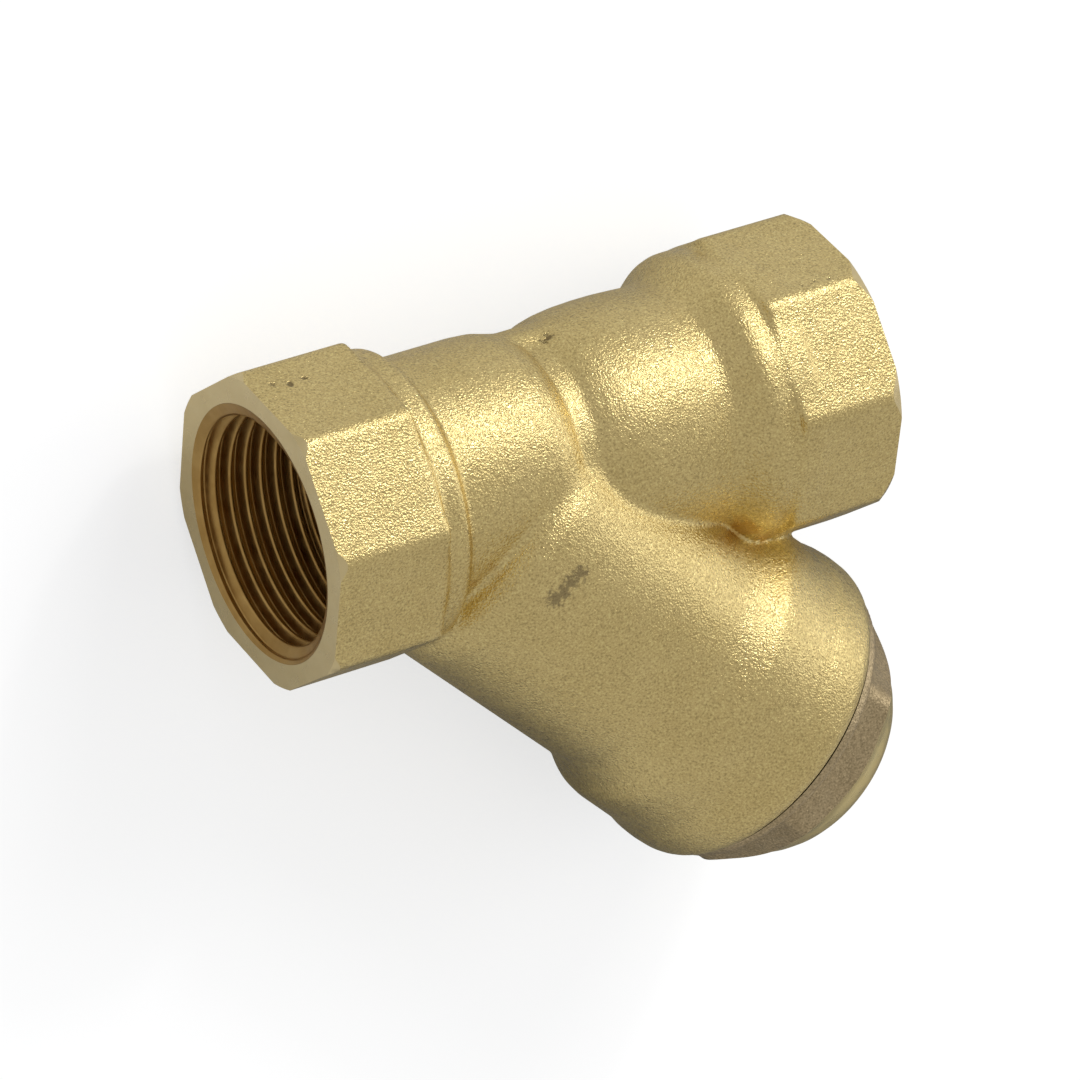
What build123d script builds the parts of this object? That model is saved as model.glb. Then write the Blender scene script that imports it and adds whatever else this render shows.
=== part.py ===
from build123d import *
import math
import os

os.makedirs("parts", exist_ok=True)

# Magnetic y-strainer, lengths in millimetres.
# The origin is the centre of the inlet face. +X is the flow, +Z is up as the strainer lies on its side.
# The branch leaves the flow axis in the XY plane, towards -Y and the outlet.
# A reach is measured along the flow from the crossing of the two axes, a height along the branch.

# Pipe ends with a plain wall at the major radius of a G 3/4 pipe thread
end_sides = 8
thread_major_radius = 13.22
thread_length = 13.0
mouth_radius = 13.6
end_across_flats = 31.6
bevel_angle = 30.0
inlet_bevel = 0.6
outlet_bevel = 0.9
inlet_reach = 19.5
outlet_reach = 48.0
inlet_octagon_length = 12.8
outlet_octagon_length = 12.2

# Casting along the flow
inlet_collar_radius = 15.4
inlet_collar_length = 2.8
inlet_shoulder_length = 1.3
inlet_tube_radius = 13.65
inlet_tube_reach = 11.2
inlet_tube_round = 4.0
saddle_radius = 12.2
bulb_radius = 13.65
bulb_reach = 14.6
bulb_lean = 17.0
bulb_round = 4.5
flare_reach = 29.8
flare_length = 2.6
flare_round = 1.6
outlet_collar_radius = 15.9

# Casting along the branch
branch_angle = 45.0
barrel_radius = 15.47
barrel_top = 4.4
barrel_round = 1.6
branch_collar_radius = 17.5
collar_start = 31.6
collar_ramp = 5.0
lip_radius = 18.0
lip_start = 43.0
lip_length = 3.0
branch_face = 48.9
branch_face_radius = 17.3
port_wall = 2.3
port_thread_length = 10.0
port_chamfer = 0.6

# Water ways and screen seat
passage_radius = 10.5
chamber_radius = 13.2
partition_start = 3.5
partition_end = 8.0
seat_hole_radius = 9.0
seat_depth = 2.5

# Screen
screen_radius = 10.8
screen_sheet = 0.5
ring_wall = 0.4
ring_height = 2.2
hole_side = 1.8
hole_columns = 16
hole_rows = 12
hole_margin = 1.2

# Cap
seam_gap = 0.3
flange_step = 0.45
cap_flange_thickness = 1.5
head_sides = 6
cap_across_flats = 28.0
head_turn = 33.0
head_height = 5.7
bevel_height = 3.6
crown_radius = 13.4
crown_shoulder_radius = 12.4
crown_shoulder_height = 1.6
crown_top_radius = 10.6
crown_height = 3.6
spigot_length = 8.0
spigot_chamfer = 0.8
pocket_floor = 1.6
gasket_thickness = 1.2
recess_wall = 0.5

# Magnet stack
stem_radius = 2.0
stem_engagement = 4.0
stem_boss_radius = 4.2
stem_boss_height = 2.6
magnet_count = 5
magnet_radius = 6.0
magnet_thickness = 5.0
plate_radius = 6.6
plate_thickness = 1.0
washer_radius = 3.6
washer_thickness = 0.9
nut_across_flats = 7.0
nut_height = 3.2
stem_overrun = 1.5

# Fits and spare length for the cuts
running_clearance = 0.05
seat_clearance = 0.2
bore_clearance = 0.1
cut_overrun = 1.0

# Places worked out from the sizes above
end_to_end = inlet_reach + outlet_reach
angle = math.radians(branch_angle)
branch_direction = Vector(math.cos(angle), -math.sin(angle), 0)
crossing = Vector(inlet_reach, 0, 0)
branch_axis = Axis(crossing, branch_direction)
axial_plane = Plane(origin=crossing, x_dir=branch_direction, z_dir=(0, 0, 1))
end_corner_radius = end_across_flats / 2 / math.cos(math.pi / end_sides)
port_radius = branch_face_radius - port_wall


def across_branch(height):
    """The plane square to the branch at a height."""
    return Plane(crossing + branch_direction * height, x_dir=(0, 0, 1), z_dir=branch_direction)


def turned(outline):
    """A solid turned about the branch axis from (height, radius) points."""
    with BuildPart() as piece:
        with BuildSketch(axial_plane):
            with BuildLine():
                Polyline(*outline, close=True)
            make_face()
        revolve(axis=branch_axis)
    return piece


def ring(bottom, top, inner_radius, outer_radius):
    """A plain ring about the branch axis."""
    return turned([(bottom, inner_radius), (top, inner_radius), (top, outer_radius), (bottom, outer_radius)])


def finish(piece, name):
    """Labels a finished piece and writes it."""
    piece.part.label = name
    export_step(piece.part, f"parts/{name}.step")


# Casting
outlet_octagon_start = end_to_end - outlet_octagon_length
collar_end = inlet_octagon_length + inlet_collar_length
tube_start = collar_end + inlet_shoulder_length
tube_end = inlet_reach + inlet_tube_reach
bulb_start = inlet_reach + bulb_reach
flare_start = inlet_reach + flare_reach
flare_end = flare_start + flare_length
blank = end_corner_radius + cut_overrun
bevel_rise = math.tan(math.radians(bevel_angle))

# Inlet tube with its rounded end
with BuildPart() as inlet_tube:
    with BuildSketch(Plane.XY) as tube_profile:
        with BuildLine():
            Polyline(
                (inlet_octagon_length / 2, 0),
                (inlet_octagon_length / 2, inlet_collar_radius),
                (collar_end, inlet_collar_radius),
                (tube_start, inlet_tube_radius),
                (tube_end, inlet_tube_radius),
                (tube_end, 0),
                close=True,
            )
        make_face()
        corner = tube_profile.vertices().sort_by_distance((tube_end, inlet_tube_radius))[0]
        fillet(corner, inlet_tube_round)
        shoulder = tube_profile.vertices().sort_by_distance((collar_end, inlet_collar_radius))[0]
        fillet(shoulder, inlet_shoulder_length)
    revolve(axis=Axis.X)

# Outlet bulb with its leaning rounded end and the flare to the outlet
with BuildPart() as bulb:
    with BuildSketch(Plane.XY) as bulb_profile:
        with BuildLine():
            Polyline(
                (inlet_reach, 0),
                (inlet_reach, bulb_radius),
                (flare_start, bulb_radius),
                (flare_end, outlet_collar_radius),
                (end_to_end - thread_length, outlet_collar_radius),
                (end_to_end - thread_length, 0),
                close=True,
            )
        make_face()
        for place in ((flare_start, bulb_radius), (flare_end, outlet_collar_radius)):
            fillet(bulb_profile.vertices().sort_by_distance(place)[0], flare_round)
    revolve(axis=Axis.X)
    lean = math.radians(bulb_lean)
    split(bisect_by=Plane((bulb_start, 0, 0), z_dir=(math.cos(lean), -math.sin(lean), 0)), keep=Keep.TOP)
    fillet(bulb.faces().sort_by(Axis.X)[0].edges(), bulb_round)

# Branch barrel with its collar and lip
with BuildPart() as barrel:
    with BuildSketch(axial_plane):
        with BuildLine():
            Polyline(
                (barrel_top, 0),
                (barrel_top, barrel_radius),
                (collar_start, barrel_radius),
                (collar_start + collar_ramp, branch_collar_radius),
                (lip_start, branch_collar_radius),
                (lip_start + lip_length, lip_radius),
                (branch_face, branch_face_radius),
                (branch_face, 0),
                close=True,
            )
        make_face()
    revolve(axis=branch_axis)
    fillet(barrel.edges().sort_by_distance(crossing)[0], barrel_round)

with BuildPart() as body:
    # Octagonal ends with a turned bevel on their corners
    with BuildSketch(Plane.YZ):
        RegularPolygon(end_across_flats / 2, end_sides, major_radius=False)
    extrude(amount=inlet_octagon_length)
    with BuildSketch(Plane.YZ.offset(outlet_octagon_start)):
        RegularPolygon(end_across_flats / 2, end_sides, major_radius=False)
    extrude(amount=outlet_octagon_length)
    for face_x, inward, bevel in ((0, 1, inlet_bevel), (end_to_end, -1, outlet_bevel)):
        with BuildSketch(Plane.XY):
            with BuildLine():
                Polyline(
                    (face_x, end_corner_radius - bevel),
                    (face_x, blank),
                    (face_x + inward * (cut_overrun + bevel) / bevel_rise, blank),
                    close=True,
                )
            make_face()
        revolve(axis=Axis.X, mode=Mode.SUBTRACT)

    # Saddle between the tube and the bulb, then the three bodies of revolution
    with BuildSketch(Plane.YZ.offset(inlet_reach)):
        Circle(saddle_radius)
    extrude(amount=flare_reach)
    add(inlet_tube.part)
    add(bulb.part)
    add(barrel.part)

    # Inlet and outlet bores
    for face_x, inward in ((0, 1), (end_to_end, -1)):
        with BuildSketch(Plane.XY):
            with BuildLine():
                Polyline(
                    (face_x, 0),
                    (face_x, mouth_radius),
                    (face_x + inward * (mouth_radius - thread_major_radius), thread_major_radius),
                    (face_x + inward * thread_length, thread_major_radius),
                    (face_x + inward * (thread_length + thread_major_radius - passage_radius), passage_radius),
                    (face_x + inward * (thread_length + thread_major_radius - passage_radius), 0),
                    close=True,
                )
            make_face()
        revolve(axis=Axis.X, mode=Mode.SUBTRACT)

# Flow passage, split in two by the leaning partition
with BuildPart() as passage:
    with BuildSketch(Plane.YZ.offset(thread_length)):
        Circle(passage_radius)
    extrude(amount=end_to_end - 2 * thread_length)
    split(bisect_by=across_branch(partition_start), keep=Keep.BOTTOM)

with BuildPart() as outlet_passage:
    with BuildSketch(Plane.YZ.offset(thread_length)):
        Circle(passage_radius)
    extrude(amount=end_to_end - 2 * thread_length)
    split(bisect_by=across_branch(partition_end), keep=Keep.TOP)

# Screen chamber, seat and branch port
seat_floor = partition_end - seat_depth
port_start = branch_face - port_thread_length
seat_radius = screen_radius + ring_wall + seat_clearance
chamber = turned(
    [
        (partition_start - cut_overrun, 0),
        (partition_start - cut_overrun, seat_hole_radius),
        (seat_floor, seat_hole_radius),
        (seat_floor, seat_radius),
        (partition_end, seat_radius),
        (partition_end, chamber_radius),
        (port_start - (port_radius - chamber_radius), chamber_radius),
        (port_start, port_radius),
        (branch_face - port_chamfer, port_radius),
        (branch_face, port_radius + port_chamfer),
        (branch_face + cut_overrun, port_radius + port_chamfer),
        (branch_face + cut_overrun, 0),
    ]
)

with BuildPart() as body_cored:
    add(body.part)
    add(passage.part, mode=Mode.SUBTRACT)
    add(outlet_passage.part, mode=Mode.SUBTRACT)
    add(chamber.part, mode=Mode.SUBTRACT)

finish(body_cored, "body")

# Screen, a rolled sheet with square openings between two rims
screen_top = seat_floor + bore_clearance
cap_seat = branch_face + seam_gap
pocket_bottom = cap_seat + pocket_floor
screen_bottom = pocket_bottom - bore_clearance
sheet_inner = screen_radius - screen_sheet
hole_pitch = (screen_bottom - screen_top - 2 * (ring_height + hole_margin)) / hole_rows
half_pitch_angle = 180 / hole_columns

with BuildPart() as screen:
    with BuildSketch(across_branch(screen_top)):
        Circle(screen_radius)
        Circle(sheet_inner, mode=Mode.SUBTRACT)
    extrude(amount=screen_bottom - screen_top)
    for row in range(hole_rows):
        height = screen_top + ring_height + hole_margin + (row + 0.5) * hole_pitch
        with Locations(across_branch(height)):
            with PolarLocations(screen_radius, hole_columns, start_angle=(row % 2) * half_pitch_angle):
                Box(screen_radius - stem_radius, hole_side, hole_side, mode=Mode.SUBTRACT)
finish(screen, "screen_sheet")

for name, bottom in (("screen_top_rim", screen_top), ("screen_bottom_rim", screen_bottom - ring_height)):
    rim = ring(bottom, bottom + ring_height, screen_radius, screen_radius + ring_wall)
    finish(rim, name)

# Cap with a hexagonal head under a turned crown, a threaded spigot and a pocket for the screen
cap_flange_radius = branch_face_radius - flange_step
flange_top = cap_seat + cap_flange_thickness
head_corner_radius = cap_across_flats / 2 / math.cos(math.pi / head_sides)
bevel_start = flange_top + bevel_height
crown_start = flange_top + head_height
spigot_radius = port_radius - running_clearance
spigot_end = branch_face - spigot_length
pocket_radius = seat_radius
gasket_inner = port_radius + bore_clearance
gasket_outer = cap_flange_radius - recess_wall - bore_clearance
recess_bottom = branch_face + gasket_thickness

cap_blank = turned(
    [
        (spigot_end, 0),
        (spigot_end, spigot_radius - spigot_chamfer),
        (spigot_end + spigot_chamfer, spigot_radius),
        (recess_bottom, spigot_radius),
        (recess_bottom, gasket_outer + bore_clearance),
        (cap_seat, gasket_outer + bore_clearance),
        (cap_seat, cap_flange_radius),
        (flange_top, cap_flange_radius),
        (flange_top, 0),
    ]
)
head_trim = turned(
    [
        (bevel_start, head_corner_radius + cut_overrun),
        (bevel_start, head_corner_radius),
        (crown_start, crown_radius),
        (crown_start + cut_overrun, crown_radius),
        (crown_start + cut_overrun, head_corner_radius + cut_overrun),
    ]
)
crown = turned(
    [
        (flange_top, 0),
        (flange_top, crown_radius),
        (crown_start, crown_radius),
        (crown_start + crown_shoulder_height, crown_shoulder_radius),
        (crown_start + crown_height, crown_top_radius),
        (crown_start + crown_height, 0),
    ]
)
pocket = turned(
    [
        (spigot_end - cut_overrun, 0),
        (spigot_end - cut_overrun, pocket_radius),
        (pocket_bottom, pocket_radius),
        (pocket_bottom, stem_boss_radius),
        (pocket_bottom - stem_boss_height, stem_boss_radius),
        (pocket_bottom - stem_boss_height, stem_radius),
        (pocket_bottom - stem_boss_height + stem_engagement, stem_radius),
        (pocket_bottom - stem_boss_height + stem_engagement, 0),
    ]
)

with BuildPart() as cap:
    with BuildSketch(across_branch(flange_top)):
        RegularPolygon(cap_across_flats / 2, head_sides, major_radius=False, rotation=head_turn)
    extrude(amount=head_height)
    add(head_trim.part, mode=Mode.SUBTRACT)
    add(cap_blank.part)
    add(crown.part)
    add(pocket.part, mode=Mode.SUBTRACT)
finish(cap, "cap")

# Gasket in the recess of the flange
gasket = ring(branch_face, recess_bottom, gasket_inner, gasket_outer)
finish(gasket, "cap_gasket")

# Magnet stack on its stem, plates and magnets by turns
stack_bottom = pocket_bottom - stem_boss_height
step = magnet_thickness + plate_thickness
stack_top = stack_bottom - magnet_count * step - plate_thickness
washer_top = stack_top - washer_thickness
nut_top = washer_top - nut_height

for index in range(magnet_count + 1):
    plate_low = stack_bottom - index * step
    plate = ring(plate_low - plate_thickness, plate_low, stem_radius, plate_radius)
    finish(plate, f"pole_plate_{index + 1}")

for index in range(magnet_count):
    magnet_low = stack_bottom - index * step - plate_thickness
    magnet = ring(magnet_low - magnet_thickness, magnet_low, stem_radius, magnet_radius)
    finish(magnet, f"ring_magnet_{index + 1}")

washer = ring(washer_top, stack_top, stem_radius, washer_radius)
finish(washer, "stem_washer")

with BuildPart() as nut:
    with BuildSketch(across_branch(nut_top)):
        RegularPolygon(nut_across_flats / 2, head_sides, major_radius=False)
        Circle(stem_radius, mode=Mode.SUBTRACT)
    extrude(amount=nut_height)
finish(nut, "stem_nut")

stem = turned(
    [
        (nut_top - stem_overrun, 0),
        (nut_top - stem_overrun, stem_radius),
        (stack_bottom + stem_engagement, stem_radius),
        (stack_bottom + stem_engagement, 0),
    ]
)
finish(stem, "magnet_stem")
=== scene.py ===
import math

import bmesh
import bpy
import numpy as np
from mathutils import Matrix, Vector


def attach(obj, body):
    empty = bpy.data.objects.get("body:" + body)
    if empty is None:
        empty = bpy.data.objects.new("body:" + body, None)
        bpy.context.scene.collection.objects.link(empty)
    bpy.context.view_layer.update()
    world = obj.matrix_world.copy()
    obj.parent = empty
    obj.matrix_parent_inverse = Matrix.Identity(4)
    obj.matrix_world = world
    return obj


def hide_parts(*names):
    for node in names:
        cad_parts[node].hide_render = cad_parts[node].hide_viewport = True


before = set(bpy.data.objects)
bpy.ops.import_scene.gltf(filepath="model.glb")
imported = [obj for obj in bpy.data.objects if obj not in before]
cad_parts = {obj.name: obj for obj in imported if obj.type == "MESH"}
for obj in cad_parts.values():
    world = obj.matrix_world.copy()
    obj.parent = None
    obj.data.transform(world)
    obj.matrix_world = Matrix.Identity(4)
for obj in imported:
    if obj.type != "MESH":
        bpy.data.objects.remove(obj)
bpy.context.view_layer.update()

# Lengths here are in millimetres until a mesh is made
MM = 0.001
C45 = math.sqrt(0.5)
ORIGIN = np.zeros(3)
X_AXIS = np.array([1.0, 0.0, 0.0])
Z_AXIS = np.array([0.0, 0.0, 1.0])
CROSSING = np.array([19.5, 0.0, 0.0])
BRANCH = np.array([C45, -C45, 0.0])
LENGTH = 67.5
BRANCH_FACE = 48.9
CORNER_RADIUS = 15.8 / math.cos(math.pi / 8)
PIPE_PITCH = 1.814
PIPE_MAJOR = 13.22
PIPE_DEPTH = 1.162
CAP_PITCH = 1.5
CAP_DEPTH = 0.85
PORT_RADIUS = 15.0


# Fields: signed distances over arrays of points

def smooth_min(a, b, k):
    h = np.clip(k - np.abs(a - b), 0, None) / k
    return np.minimum(a, b) - h * h * k / 4


def smooth_max(a, b, k):
    return -smooth_min(-a, -b, k)


class Outline:
    """A turned outline as a softened table of signed distance over (height, radius)."""

    def __init__(self, points, blur, spacing=0.12, margin=5.0):
        half = np.array(points, float)
        whole = np.concatenate([half, half[::-1] * (1, -1)])
        low = half[:, 0].min() - margin
        high = half[:, 0].max() + margin
        top = half[:, 1].max() + margin
        u = np.arange(low, high, spacing)
        v = np.arange(-3.0, top, spacing)
        gu, gv = np.meshgrid(u, v, indexing="ij")
        best = np.full(gu.shape, 1e9)
        inside = np.zeros(gu.shape, bool)
        for (ax, ay), (bx, by) in zip(whole, np.roll(whole, -1, 0)):
            dx, dy = bx - ax, by - ay
            size = dx * dx + dy * dy
            if size < 1e-12:
                continue
            t = np.clip(((gu - ax) * dx + (gv - ay) * dy) / size, 0, 1)
            best = np.minimum(best, (gu - ax - t * dx) ** 2 + (gv - ay - t * dy) ** 2)
            if dy:
                crosses = (ay > gv) != (by > gv)
                inside ^= crosses & (gu < ax + (gv - ay) / dy * dx)
        table = np.where(inside, -1, 1) * np.sqrt(best)
        if blur:
            reach = int(3 * blur / spacing) + 1
            kernel = np.exp(-0.5 * (np.arange(-reach, reach + 1) * spacing / blur) ** 2)
            kernel /= kernel.sum()
            for way in (0, 1):
                padded = np.pad(table, [(reach, reach) if k == way else (0, 0) for k in (0, 1)], mode="edge")
                table = sum(
                    w * (padded[i:i + table.shape[0], :] if way == 0 else padded[:, i:i + table.shape[1]])
                    for i, w in enumerate(kernel)
                )
        self.table, self.low, self.spacing = table, (low, -3.0), spacing

    def __call__(self, height, radius):
        a = (height - self.low[0]) / self.spacing
        b = (radius - self.low[1]) / self.spacing
        rows, columns = self.table.shape
        a1 = np.clip(a, 0, rows - 1.001)
        b1 = np.clip(b, 0, columns - 1.001)
        i, j = a1.astype(int), b1.astype(int)
        s, t = a1 - i, b1 - j
        T = self.table
        value = (T[i, j] * (1 - s) + T[i + 1, j] * s) * (1 - t) + (T[i, j + 1] * (1 - s) + T[i + 1, j + 1] * s) * t
        return value + np.hypot(a - a1, b - b1) * self.spacing


def on_flow(p):
    return p[..., 0], np.hypot(p[..., 1], p[..., 2])


def on_branch(p):
    q = p - CROSSING
    height = q @ BRANCH
    return height, np.sqrt(np.maximum((q * q).sum(-1) - height ** 2, 0))


def prism(across, along, sides, turn, half_width, low, high, edge):
    """A regular prism; across is its pair of coordinates square to its length."""
    u, v = across
    value = None
    for k in range(sides):
        a = turn + k * 2 * math.pi / sides
        side = u * math.cos(a) + v * math.sin(a) - half_width
        value = side if value is None else smooth_max(value, side, edge)
    return smooth_max(value, np.maximum(low - along, along - high), edge)


def surface(field, low, high, voxel):
    """The zero surface of a field as vertices and quads."""
    low = np.array(low, float)
    count = np.ceil((np.array(high) - low) / voxel).astype(int) + 1
    axes = [low[i] + voxel * np.arange(count[i]) for i in range(3)]
    values = np.empty(count, np.float32)
    for i, x in enumerate(axes[0]):
        gy, gz = np.meshgrid(axes[1], axes[2], indexing="ij")
        values[i] = field(np.stack([np.full(gy.shape, x), gy, gz], -1))
    solid = values < 0
    cells = count - 1
    corners = [(a, b, c) for a in (0, 1) for b in (0, 1) for c in (0, 1)]
    total = sum(solid[a:a + cells[0], b:b + cells[1], c:c + cells[2]].astype(np.int8) for a, b, c in corners)
    mixed = (total > 0) & (total < 8)
    index = np.full(cells, -1, np.int64)
    index[mixed] = np.arange(mixed.sum())
    place = np.argwhere(mixed)
    points = low + (place + 0.5) * voxel
    for step in range(7):
        points = newton(field, points, voxel * 0.9)
    quads = []
    for way in range(3):
        one, two = [k for k in range(3) if k != way]
        a = solid[tuple(slice(0, -1) if k == way else slice(1, -1) for k in range(3))]
        b = solid[tuple(slice(1, None) if k == way else slice(1, -1) for k in range(3))]
        hit = np.argwhere(a != b)
        leaving = a[tuple(hit.T)]
        base = hit + np.array([0 if k == way else 1 for k in range(3)])
        ring = []
        for du, dv in ((-1, -1), (0, -1), (0, 0), (-1, 0)):
            cell = base.copy()
            cell[:, one] += du
            cell[:, two] += dv
            ring.append(index[tuple(cell.T)])
        ring = np.stack(ring, 1)
        flip = leaving if way != 1 else ~leaving
        quads.append(np.where(flip[:, None], ring, ring[:, ::-1]))
    return points, np.concatenate(quads)


def newton(field, points, limit):
    """Moves points one step towards the zero surface."""
    value = field(points)
    slope = np.empty_like(points)
    e = 0.02
    for k in range(3):
        step = np.zeros(3)
        step[k] = e
        slope[:, k] = (field(points + step) - field(points - step)) / (2 * e)
    move = -value[:, None] * slope / np.maximum((slope ** 2).sum(1), 0.05)[:, None]
    size = np.linalg.norm(move, axis=1, keepdims=True)
    return points + move * np.minimum(1, limit / np.maximum(size, 1e-9))


# Meshes

def make_mesh(name, points, faces, material=None):
    mesh = bpy.data.meshes.new(name)
    mesh.from_pydata((np.asarray(points) * MM).tolist(), [], [list(map(int, f)) for f in faces])
    mesh.validate()
    if material:
        mesh.materials.append(material)
    obj = bpy.data.objects.new(name, mesh)
    bpy.context.scene.collection.objects.link(obj)
    return obj


def grid_faces(rows, columns, closed_rows=False):
    """Quads over a grid of points whose columns close into a ring."""
    faces = []
    for i in range(rows if closed_rows else rows - 1):
        j = (i + 1) % rows
        for k in range(columns):
            m = (k + 1) % columns
            faces.append((i * columns + k, i * columns + m, j * columns + m, j * columns + k))
    return faces


def frame_of(axis):
    """Two directions square to an axis, so that one, two and the axis are right-handed."""
    one = Z_AXIS
    return one, np.cross(axis, one)


def turned(name, origin, axis, outline, material, segments=192, ends=True):
    """A closed solid turned about an axis. outline is (height, radius) points; a radius may be a function of the angle and height."""
    one, two = frame_of(axis)
    angles = np.arange(segments) * 2 * math.pi / segments
    rows = []
    for height, radius in outline:
        if callable(height):
            heights = np.array([height(a) for a in angles])
        else:
            heights = np.full(segments, float(height))
        radii = radius(angles, heights) if callable(radius) else np.full(segments, float(radius))
        rows.append(
            origin
            + heights[:, None] * axis
            + radii[:, None] * (np.cos(angles)[:, None] * one + np.sin(angles)[:, None] * two)
        )
    points = np.concatenate(rows)
    faces = grid_faces(len(rows), segments, closed_rows=not ends)
    if ends:
        faces.append(tuple(range(segments))[::-1])
        last = (len(rows) - 1) * segments
        faces.append(tuple(range(last, last + segments)))
    obj = make_mesh(name, points, faces, material)
    bm = bmesh.new()
    bm.from_mesh(obj.data)
    bmesh.ops.recalc_face_normals(bm, faces=bm.faces)
    bm.to_mesh(obj.data)
    bm.free()
    return obj


def cut(obj, tools):
    """Takes the tools away from obj, and keeps their materials on the cut faces."""
    for tool in tools:
        modifier = obj.modifiers.new("cut", "BOOLEAN")
        modifier.operation = "DIFFERENCE"
        modifier.solver = "EXACT"
        modifier.material_mode = "TRANSFER"
        modifier.object = tool
    bpy.context.view_layer.update()
    result = bpy.data.meshes.new_from_object(obj.evaluated_get(bpy.context.evaluated_depsgraph_get()))
    obj.modifiers.clear()
    old = obj.data
    obj.data = result
    bpy.data.meshes.remove(old)
    for tool in tools:
        bpy.data.objects.remove(tool)


def finish_mesh(obj, sharp=32):
    bm = bmesh.new()
    bm.from_mesh(obj.data)
    bmesh.ops.remove_doubles(bm, verts=bm.verts, dist=4e-6)
    bmesh.ops.dissolve_degenerate(bm, edges=bm.edges, dist=2e-6)
    bm.to_mesh(obj.data)
    bm.free()
    obj.data.shade_smooth()
    obj.data.set_sharp_from_angle(angle=math.radians(sharp))


def ridge(phase):
    """A rounded thread's height: 0 in the groove, 1 on the crest."""
    t = phase - np.floor(phase)
    rise = np.clip((1 - np.abs(2 * t - 1) - 0.14) / 0.72, 0, 1)
    return rise * rise * (3 - 2 * rise) * 0.35 + rise * 0.65


def threaded(name, origin, axis, start, stop, pitch, radius, material, segments=96, share=14):
    """A helical skin along an axis. radius is a function of the thread's phase and the height."""
    one, two = frame_of(axis)
    turns = np.arange(segments) / segments
    first = int(math.floor(start / pitch)) * share - share
    last = int(math.ceil(stop / pitch)) * share + share
    rows = np.arange(first, last + share + 1)
    phase = rows[:, None] / share + 0 * turns
    height = np.clip((phase + turns) * pitch, start, stop)
    size = radius(height / pitch - turns, height)
    spin = 2 * math.pi * turns
    points = origin + height[..., None] * axis + size[..., None] * (
        np.cos(spin)[:, None] * one + np.sin(spin)[:, None] * two)
    faces = []
    for i in range(last - first):
        for j in range(segments):
            k, m = (i, j + 1) if j + 1 < segments else (i + share, 0)
            faces.append((i * segments + j, k * segments + m, (k + 1) * segments + m, (i + 1) * segments + j))
    obj = make_mesh(name, points.reshape(-1, 3), faces, material)
    bm = bmesh.new()
    bm.from_mesh(obj.data)
    bmesh.ops.remove_doubles(bm, verts=bm.verts, dist=2e-6)
    bmesh.ops.dissolve_degenerate(bm, edges=bm.edges, dist=1e-7)
    loose = [v for v in bm.verts if not v.link_faces]
    bmesh.ops.delete(bm, geom=loose, context="VERTS")
    bmesh.ops.recalc_face_normals(bm, faces=bm.faces)
    bm.to_mesh(obj.data)
    bm.free()
    obj.data.shade_smooth()
    return obj


# Materials

class Nodes:
    """A material's node tree, built a node at a time."""

    def __init__(self, name):
        self.material = bpy.data.materials.new(name)
        self.material.use_nodes = True
        self.tree = self.material.node_tree
        self.shader = self.tree.nodes["Principled BSDF"]
        self.place = self.add("ShaderNodeTexCoord").outputs["Object"]

    def add(self, kind, values=(), **settings):
        node = self.tree.nodes.new(kind)
        for key, value in settings.items():
            setattr(node, key, value)
        for key, value in dict(values).items():
            if isinstance(value, bpy.types.NodeSocket):
                self.tree.links.new(value, node.inputs[key])
            else:
                node.inputs[key].default_value = value
        return node

    def noise(self, scale, detail=2.0, rough=0.5, place=None, distortion=0.0):
        return self.add(
            "ShaderNodeTexNoise",
            {"Vector": place or self.place, "Scale": scale, "Detail": detail, "Roughness": rough, "Distortion": distortion},
        ).outputs["Fac"]

    def ramp(self, factor, stops):
        node = self.add("ShaderNodeValToRGB", {"Fac": factor})
        elements = node.color_ramp.elements
        while len(elements) < len(stops):
            elements.new(0.5)
        for element, (position, colour) in zip(elements, stops):
            element.position = position
            if not hasattr(colour, "__len__"):
                colour = (colour,) * 3
            element.color = (*colour, 1)
        return node.outputs["Color"]

    def mix(self, factor, a, b, blend="MIX"):
        node = self.add("ShaderNodeMix", data_type="RGBA", blend_type=blend)
        for key, value in ((0, factor), (6, a), (7, b)):
            if isinstance(value, bpy.types.NodeSocket):
                self.tree.links.new(value, node.inputs[key])
            else:
                node.inputs[key].default_value = (*value, 1) if hasattr(value, "__len__") else value
        return node.outputs[2]

    def math(self, operation, a, b=0.0):
        return self.add("ShaderNodeMath", {0: a, 1: b}, operation=operation).outputs[0]

    def bump(self, height, strength, distance, normal=None):
        values = {"Height": height, "Strength": strength, "Distance": distance}
        if normal:
            values["Normal"] = normal
        return self.add("ShaderNodeBump", values).outputs["Normal"]

    def finish(self, **values):
        for key, value in values.items():
            socket = self.shader.inputs[key.replace("_", " ")]
            if isinstance(value, bpy.types.NodeSocket):
                self.tree.links.new(value, socket)
            else:
                socket.default_value = (*value, 1) if hasattr(value, "__len__") else value
        return self.material


def spots(n, places, ragged, scale=1800):
    """A mask that is 1 inside ragged spots; places are (centre in mm, radius in mm)."""
    whole = None
    for centre, radius in places:
        far = n.add("ShaderNodeVectorMath", {0: n.place, 1: tuple(c * MM for c in centre)}, operation="DISTANCE")
        near = n.math("MULTIPLY", far.outputs["Value"], 1 / (radius * MM))
        whole = near if whole is None else n.math("MINIMUM", whole, near)
    rough = n.math("MULTIPLY", n.math("SUBTRACT", n.noise(scale, 2, 0.6), 0.5), ragged)
    return n.ramp(n.math("ADD", whole, rough), [(0.5, 1.0), (1.0, 0.0)])


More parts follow.
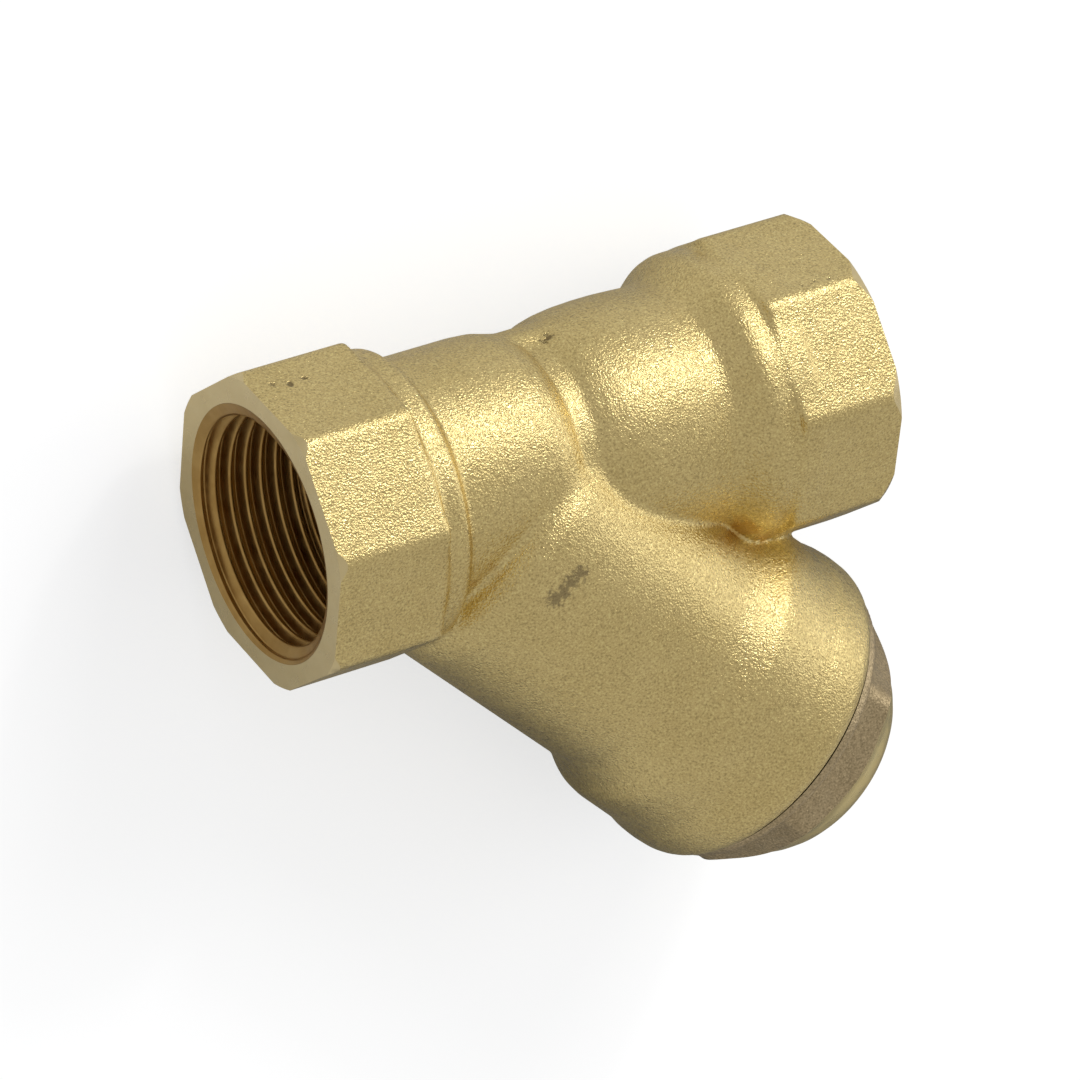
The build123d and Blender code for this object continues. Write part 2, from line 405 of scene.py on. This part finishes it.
def blasted_brass(name, dark, light, grain=1.0, roughness=0.38, stains=(), pits=(), crease_shade=()):
    n = Nodes(name)
    patches = n.noise(140, 3, 0.6)
    colour = n.ramp(patches, [(0.3, dark), (0.7, light)])
    speck = n.noise(4200, 1.0, 0.5)
    colour = n.mix(n.ramp(speck, [(0.52, 0.0), (0.72, 0.8)]), colour, [min(1, c * 1.3) for c in light])
    colour = n.mix(n.ramp(speck, [(0.3, 0.6), (0.46, 0.0)]), colour, [c * 0.55 for c in dark])
    fine = n.noise(4800, 1.0, 0.5)
    height = n.math("ADD", n.math("MULTIPLY", n.noise(1900, 1.0, 0.5), 0.45), fine)
    rough = n.ramp(n.noise(900, 2), [(0.3, roughness - 0.08), (0.7, roughness + 0.08)])
    # Painted shade: browner, darker spots in the creases at the top of the barrel and where the outlet meets the branch
    if crease_shade:
        colour = n.mix(n.math("MULTIPLY", spots(n, crease_shade, 1.2, 700), 0.75), colour, (0.58, 0.34, 0.08))
    if stains:
        colour = n.mix(n.math("MULTIPLY", spots(n, stains, 2.6), 0.6), colour, (0.16, 0.12, 0.08))
    if pits:
        hole = spots(n, pits, 2.6)
        colour = n.mix(n.math("MULTIPLY", hole, 0.8), colour, (0.16, 0.11, 0.05))
        height = n.math("SUBTRACT", height, hole)
    return n.finish(
        Base_Color=colour, Metallic=1.0, Roughness=rough, Normal=n.bump(height, 1.0, 0.000095 * grain)
    )


def turned_metal(name, dark, light, axis, roughness=0.25, lines=1.0, origin=(0, 0, 0)):
    """Machined metal with fine rings about an axis."""
    n = Nodes(name)
    centre = n.add("ShaderNodeVectorMath", {0: n.place, 1: origin}, operation="SUBTRACT").outputs[0]
    along = n.add("ShaderNodeVectorMath", {0: centre, 1: axis}, operation="DOT_PRODUCT").outputs["Value"]
    square = n.math("POWER", n.add("ShaderNodeVectorMath", {0: centre}, operation="LENGTH").outputs["Value"], 2.0)
    radius = n.math("SQRT", n.math("MAXIMUM", n.math("SUBTRACT", square, n.math("POWER", along, 2.0)), 0.0))
    rings = n.noise(9000, 2, 0.6, n.add("ShaderNodeCombineXYZ", {0: radius, 1: along}).outputs[0])
    patches = n.noise(300, 2, 0.6)
    colour = n.ramp(patches, [(0.3, dark), (0.7, light)])
    rough = n.ramp(n.noise(700, 2), [(0.3, roughness - 0.05), (0.7, roughness + 0.07)])
    return n.finish(Base_Color=colour, Metallic=1.0, Roughness=rough, Normal=n.bump(rings, 0.25 * lines, 0.00006))


def plain_metal(name, dark, light, roughness=0.3, grain=0.2, scale=1500):
    n = Nodes(name)
    colour = n.ramp(n.noise(260, 3, 0.6), [(0.3, dark), (0.7, light)])
    rough = n.ramp(n.noise(800, 2), [(0.3, roughness - 0.06), (0.7, roughness + 0.08)])
    return n.finish(Base_Color=colour, Metallic=1.0, Roughness=rough, Normal=n.bump(n.noise(scale, 2), grain, 0.00005))


BRANCH_M = tuple(float(v) for v in BRANCH)
CROSSING_M = tuple(float(v) * MM for v in CROSSING)
cast = blasted_brass(
    "cast_brass", (0.75, 0.59, 0.26), (0.82, 0.655, 0.305), 1.0, 0.3,
    stains=[((24.6, -10.6, 14.9), 1.2), ((25.6, -10.0, 15.2), 1.1), ((26.7, -9.2, 15.4), 1.1), ((27.8, -8.6, 15.5), 1.0)],
    pits=[((2.4, 15.5, 2.9), 0.5), ((4.0, 15.4, 3.6), 0.55), ((6.0, 15.4, 3.4), 0.45), ((5.3, -9.8, 12.4), 0.5), ((60.3, 12.1, 10.8), 0.5),
          ((62.0, 12.1, 10.8), 0.6), ((63.6, 12.1, 10.8), 0.5), ((34.2, 12.5, 2.9), 0.7)],
    # painted shade: spots in the creases at the barrel's top and at the outlet's neck
    crease_shade=[((17.6, -8.6, 12.4), 1.6), ((19.4, -6.8, 13.4), 1.4), ((51.0, -11.2, 9.2), 2.2), ((53.6, -12.4, 8.0), 2.0)])
flat_turned = turned_metal("turned_brass", (0.80, 0.66, 0.36), (0.86, 0.72, 0.41), (1, 0, 0), 0.3)
face_turned = turned_metal("turned_branch", (0.62, 0.50, 0.22), (0.70, 0.58, 0.28), BRANCH_M, 0.3, origin=CROSSING_M)
thread_brass = plain_metal("thread_brass", (0.48, 0.29, 0.09), (0.62, 0.41, 0.15), 0.36, 0.25)
inner_cast = blasted_brass("inner_cast", (0.26, 0.17, 0.06), (0.34, 0.23, 0.09), 1.0, 0.5)
cap_cast = blasted_brass("cap_cast", (0.46, 0.36, 0.21), (0.56, 0.45, 0.28), 0.7, 0.42)
cap_land = turned_metal("cap_land", (0.92, 0.74, 0.33), (0.96, 0.80, 0.38), BRANCH_M, 0.3, origin=CROSSING_M)

# Casting: the flow's turned outline, the leaning bulb, the branch and the two octagons
inlet_outline = Outline(
    [(6, 0), (6, 15.4), (15.2, 15.4), (15.7, 15.3), (16.5, 14.0), (16.9, 13.65), (26.5, 13.65), (28.6, 13.5), (30.1, 13.1),
     (31.2, 12.5), (31.8, 11.8), (32.0, 11.0), (32.1, 9.0), (32.1, 0)], 0.13)
saddle_outline = Outline([(19.5, 0), (19.5, 12.2), (52, 12.2), (52, 0)], 0.13)
outlet_outline = Outline(
    [(33.3, 0), (33.3, 10.5), (33.5, 11.6), (33.9, 12.2), (34.6, 12.65), (35.8, 13.1), (37.4, 13.45), (39.4, 13.68), (41.8, 13.78),
     (44, 13.78), (46.5, 13.66), (48.4, 13.55), (49.4, 13.7), (50.2, 14.2), (51.2, 15.0), (52.1, 15.65), (53.0, 15.93), (54.2, 15.95),
     (58, 15.9), (58, 0)], 0.15)
branch_outline = Outline(
    [(4.6, 0), (4.6, 11.6), (5.2, 12.6), (6.0, 13.7), (7.0, 14.6), (8.2, 15.2), (9.6, 15.47), (31.6, 15.47), (32.8, 15.65),
     (34.2, 16.1), (35.1, 16.45), (35.9, 16.95), (36.7, 17.33), (37.8, 17.5), (42.6, 17.55), (43.6, 17.68), (44.6, 17.9),
     (46.0, 18.0), (47.6, 17.95), (48.4, 17.75), (48.9, 17.35), (48.95, 17.3), (51.5, 17.3), (51.5, 0)], 0.15)


def casting(p):
    x, radius = on_flow(p)
    height, across = on_branch(p)
    inlet = inlet_outline(x, radius)
    saddle = saddle_outline(x, radius)
    web = smooth_max(np.hypot(p[..., 1], p[..., 2]) - 13.0, np.abs(p[..., 2]) - 2.2, 1.6)
    web = np.maximum(web, np.abs(x - 34.0) - 8.0)
    flow = smooth_min(smooth_min(inlet, smooth_min(saddle, web, 1.5), 0.35), outlet_outline(x, radius), 0.4)
    value = smooth_min(flow, branch_outline(height, across), 0.8)
    for low, high in ((-2.0, 12.9), (55.3, 69.5)):
        ends = prism((p[..., 1], p[..., 2]), x, 8, math.pi / 8, 15.8, low, high, 0.55)
        value = smooth_min(value, ends, 0.7)
    return value


voxel = 0.36
points, quads = surface(casting, (-3.0, -48.5, -20.0), (72.0, 19.5, 20.0), voxel)
forging = make_mesh("forging", points, quads, cast)


tools = [
    turned("face_in", ORIGIN, X_AXIS, [(-6, 1), (-6, 20), ((20 - CORNER_RADIUS + 0.6) / 0.577, 20), (0, CORNER_RADIUS - 0.6), (0, 1)], flat_turned),
    turned("face_out", ORIGIN, X_AXIS, [(LENGTH + 6, 1), (LENGTH + 6, 19), (LENGTH - (19 - CORNER_RADIUS + 0.9) / 0.577, 19), (LENGTH, CORNER_RADIUS - 0.9), (LENGTH, 1)], flat_turned),
    turned("face_branch", CROSSING, BRANCH, [(BRANCH_FACE, 1), (BRANCH_FACE, 20), (55, 20), (55, 1)], face_turned),
    turned("bore_in", ORIGIN, X_AXIS, [(-2, 13.7), (0, 13.7), (0.48, PIPE_MAJOR), (13, PIPE_MAJOR), (15.72, 10.5), (16.5, 10.5)], thread_brass),
    turned("bore_out", ORIGIN, X_AXIS, [(LENGTH + 2, 13.7), (LENGTH, 13.7), (LENGTH - 0.48, PIPE_MAJOR), (LENGTH - 13, PIPE_MAJOR), (LENGTH - 15.72, 10.5), (LENGTH - 16.5, 10.5)], thread_brass),
    turned("passage_in", ORIGIN, X_AXIS, [(12.0, 10.5), (lambda a: 19.5 + 3.5 / C45 + 10.5 * math.sin(a) * frame_of(X_AXIS)[1][1], 10.5)], inner_cast),
    turned("passage_out", ORIGIN, X_AXIS, [(lambda a: 19.5 + 8.0 / C45 + 10.5 * math.sin(a) * frame_of(X_AXIS)[1][1], 10.5), (LENGTH - 12.0, 10.5)], inner_cast),
    turned("chamber", CROSSING, BRANCH, [(2.5, 9.0), (5.5, 9.0), (5.5, 11.4), (8.0, 11.4), (8.0, 13.2), (37.1, 13.2), (38.9, 15.0), (39.4, 15.0)], inner_cast),
    turned("port", CROSSING, BRANCH, [(39.0, 15.0), (48.3, 15.0), (48.9, 15.6), (50, 15.6)], thread_brass),
]
cut(forging, tools)
finish_mesh(forging)


def pipe_thread(face, inward):
    def radius(phase, x):
        depth = (x - face) * inward
        fade = np.clip((13.1 - depth) / 1.4, 0, 1)
        return np.maximum(PIPE_MAJOR + 0.02 - ridge(phase) * PIPE_DEPTH * fade, 13.68 - 2.2 * depth)
    return radius


def cap_thread(offset, low=None):
    def radius(phase, height):
        fade = 1.0 if low is None else np.clip((height - low) / 0.8, 0, 1)
        return PORT_RADIUS - offset - CAP_DEPTH + (1 - ridge(phase)) * CAP_DEPTH * fade
    return radius


threads = [
    threaded("inlet_thread", ORIGIN, X_AXIS, 0.0, 13.1, PIPE_PITCH, pipe_thread(0, 1), thread_brass),
    threaded("outlet_thread", ORIGIN, X_AXIS, LENGTH - 13.1, LENGTH, PIPE_PITCH, pipe_thread(LENGTH, -1), thread_brass),
    threaded("port_thread", CROSSING, BRANCH, 39.2, 48.4, CAP_PITCH, cap_thread(-0.02), thread_brass),
]
for piece in [forging] + threads:
    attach(piece, "strainer_body")
    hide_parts("body")

# Cap: a cast flange and hexagonal head, turned at its end, on a threaded spigot
flange_outline = Outline([(44, 0), (44, 16.85), (50.3, 16.85), (50.7, 16.5), (50.7, 0)], 0.18)
one, two = frame_of(BRANCH)


def cap_field(p):
    height, across = on_branch(p)
    q = p - CROSSING
    head = prism((q @ one, q @ two), height, 6, math.radians(3), 14.0, 46, 61, 1.2)
    return smooth_min(flange_outline(height, across), head, 0.8)


voxel = 0.32
points, quads = surface(cap_field, (30.0, -64.0, -19.0), (74.0, -18.0, 19.0), voxel)
cap = make_mesh("strainer_cap", points, quads, cap_cast)
cut(cap, [
    turned("cap_top", CROSSING, BRANCH, [(60, 0.01), (60, 10.2), (59.8, 10.7), (59.2, 11.4), (58.1, 12.35), (57.2, 12.95), (56.2, 13.65), (55.2, 14.7),
                                         (54.3, 15.95), (54.3, 22), (66, 22), (66, 0.01)], cap_land),
    turned("cap_under", CROSSING, BRANCH, [(30, 0.01), (30, 22), (49.45, 22), (49.45, 16.3), (50.1, 16.3), (50.1, 0.01)], face_turned),
])
core = turned("cap_spigot", CROSSING, BRANCH, [(40.9, 11.4), (40.9, 13.5), (41.5, 14.12), (50.3, 14.12), (50.3, 11.4)], thread_brass, ends=False)
lower = turned("cap_boss", CROSSING, BRANCH, [(48.2, 2.0), (48.2, 3.9), (48.5, 4.2), (50.8, 4.2), (50.8, 11.5), (50.0, 11.5)], inner_cast, ends=False)
cap_ridges = threaded("cap_thread", CROSSING, BRANCH, 41.0, 48.4, CAP_PITCH, cap_thread(0.07, 41.0), thread_brass)
finish_mesh(cap)
finish_mesh(core)
finish_mesh(lower)
for piece in (cap, core, lower, cap_ridges):
    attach(piece, "cap_set")
    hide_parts("cap")

# The frame's own pieces keep their shapes and get materials
steel = plain_metal("bright_steel", (0.52, 0.52, 0.51), (0.66, 0.66, 0.65), 0.25)
screen = plain_metal("screen_steel", (0.50, 0.50, 0.49), (0.62, 0.62, 0.60), 0.3, 0.3)
pole = turned_metal("pole_steel", (0.45, 0.45, 0.45), (0.56, 0.56, 0.56), BRANCH_M, 0.3, origin=CROSSING_M)
nickel = plain_metal("nickel", (0.55, 0.54, 0.51), (0.66, 0.64, 0.60), 0.15, 0.08)
rubber = Nodes("gasket_rubber")
rubber = rubber.finish(
    Base_Color=rubber.ramp(rubber.noise(400, 2), [(0.3, (0.02, 0.02, 0.02)), (0.7, (0.045, 0.043, 0.04))]),
    Roughness=0.65, Normal=rubber.bump(rubber.noise(2500, 2), 0.2, 0.00005))
looks = {"screen_sheet": screen, "screen_top_rim": steel, "screen_bottom_rim": steel, "cap_gasket": rubber,
         "magnet_stem": steel, "stem_washer": steel, "stem_nut": steel, "body": cast, "cap": cap_cast}
looks.update({f"pole_plate_{i}": pole for i in range(1, 7)})
looks.update({f"ring_magnet_{i}": nickel for i in range(1, 6)})
for name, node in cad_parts.items():
    node.data.materials.clear()
    node.data.materials.append(looks[name])

# Floor, lights and camera
floor_mesh = bpy.data.meshes.new("floor")
floor_mesh.from_pydata([(-3, -3, -0.0181), (3, -3, -0.0181), (3, 3, -0.0181), (-3, 3, -0.0181)], [], [(0, 1, 2, 3)])
floor = bpy.data.objects.new("floor", floor_mesh)
bpy.context.scene.collection.objects.link(floor)
paper = bpy.data.materials.new("paper")
paper.use_nodes = True
tree = paper.node_tree
tree.nodes.clear()
output = tree.nodes.new("ShaderNodeOutputMaterial")
diffuse = tree.nodes.new("ShaderNodeBsdfDiffuse")
glow = tree.nodes.new("ShaderNodeEmission")
glow.inputs["Color"].default_value = (0.92, 0.95, 1, 1)
path = tree.nodes.new("ShaderNodeLightPath")
shade = tree.nodes.new("ShaderNodeMix")
shade.data_type = "RGBA"
# Painted shadow: for all rays but camera rays the floor is darker, 0.2 within 45 mm of the point (70, -60) mm and
# rising to 0.8 at 100 mm; camera rays see 0.8
spot = tree.nodes.new("ShaderNodeTexCoord")
far = tree.nodes.new("ShaderNodeVectorMath")
far.operation = "DISTANCE"
far.inputs[1].default_value = (0.07, -0.06, -0.0181)
tree.links.new(spot.outputs["Object"], far.inputs[0])
painted_floor_shadow = tree.nodes.new("ShaderNodeMapRange")
for place, value in enumerate((0.045, 0.1, 0.2, 0.8)):
    painted_floor_shadow.inputs[place + 1].default_value = value
tree.links.new(far.outputs["Value"], painted_floor_shadow.inputs[0])
tree.links.new(painted_floor_shadow.outputs[0], shade.inputs[6])
shade.inputs[7].default_value = (0.8, 0.8, 0.8, 1)
tree.links.new(path.outputs["Is Camera Ray"], shade.inputs[0])
tree.links.new(shade.outputs[2], diffuse.inputs["Color"])
seen = tree.nodes.new("ShaderNodeMath")
seen.operation = "MULTIPLY"
seen.inputs[1].default_value = 0.06
tree.links.new(path.outputs["Is Glossy Ray"], seen.inputs[0])
level = tree.nodes.new("ShaderNodeMath")
level.operation = "MULTIPLY_ADD"
level.inputs[1].default_value = 0.6
tree.links.new(path.outputs["Is Camera Ray"], level.inputs[0])
tree.links.new(seen.outputs[0], level.inputs[2])
tree.links.new(level.outputs[0], glow.inputs["Strength"])
both = tree.nodes.new("ShaderNodeAddShader")
tree.links.new(diffuse.outputs[0], both.inputs[0])
tree.links.new(glow.outputs[0], both.inputs[1])
tree.links.new(both.outputs[0], output.inputs["Surface"])
floor_mesh.materials.append(paper)

world = bpy.data.worlds.new("studio")
bpy.context.scene.world = world
world.use_nodes = True
world.node_tree.nodes["Background"].inputs["Color"].default_value = (1, 0.96, 0.89, 1)
world.node_tree.nodes["Background"].inputs["Strength"].default_value = 0.47

scene = bpy.context.scene
scene.view_settings.view_transform = "Standard"


def lamp(name, place, target, size, power):
    data = bpy.data.lights.new(name, "AREA")
    data.shape = "SQUARE"
    data.size = size
    data.energy = power
    obj = bpy.data.objects.new(name, data)
    obj.location = place
    obj.rotation_euler = (Vector(target) - Vector(place)).to_track_quat("-Z", "Y").to_euler()
    scene.collection.objects.link(obj)


middle = (0.035, -0.012, 0)
lamp("key", (0.45, 0.62, 0.50), middle, 0.42, 1.6)
lamp("side", (0.90, 0.08, 0.36), middle, 0.5, 0.9)
lamp("glint", (0.40, 0.55, 0.44), middle, 0.06, 0.4)

camera_data = bpy.data.cameras.new("camera")
camera_data.sensor_width = 36
camera_data.lens = 36 * 7131.6 / 1080
camera_data.clip_start = 0.01
camera_data.clip_end = 20
camera = bpy.data.objects.new("camera", camera_data)
right = (0.8482329, -0.1288451, 0.5137119)
up = (0.2635353, 0.9440330, -0.1983706)
back = (-0.4594019, 0.3036457, 0.8347151)
matrix = Matrix((right, up, back)).transposed().to_4x4()
matrix.translation = (-0.306545, 0.214222, 0.615097)
camera.matrix_world = matrix
scene.collection.objects.link(camera)
scene.camera = camera
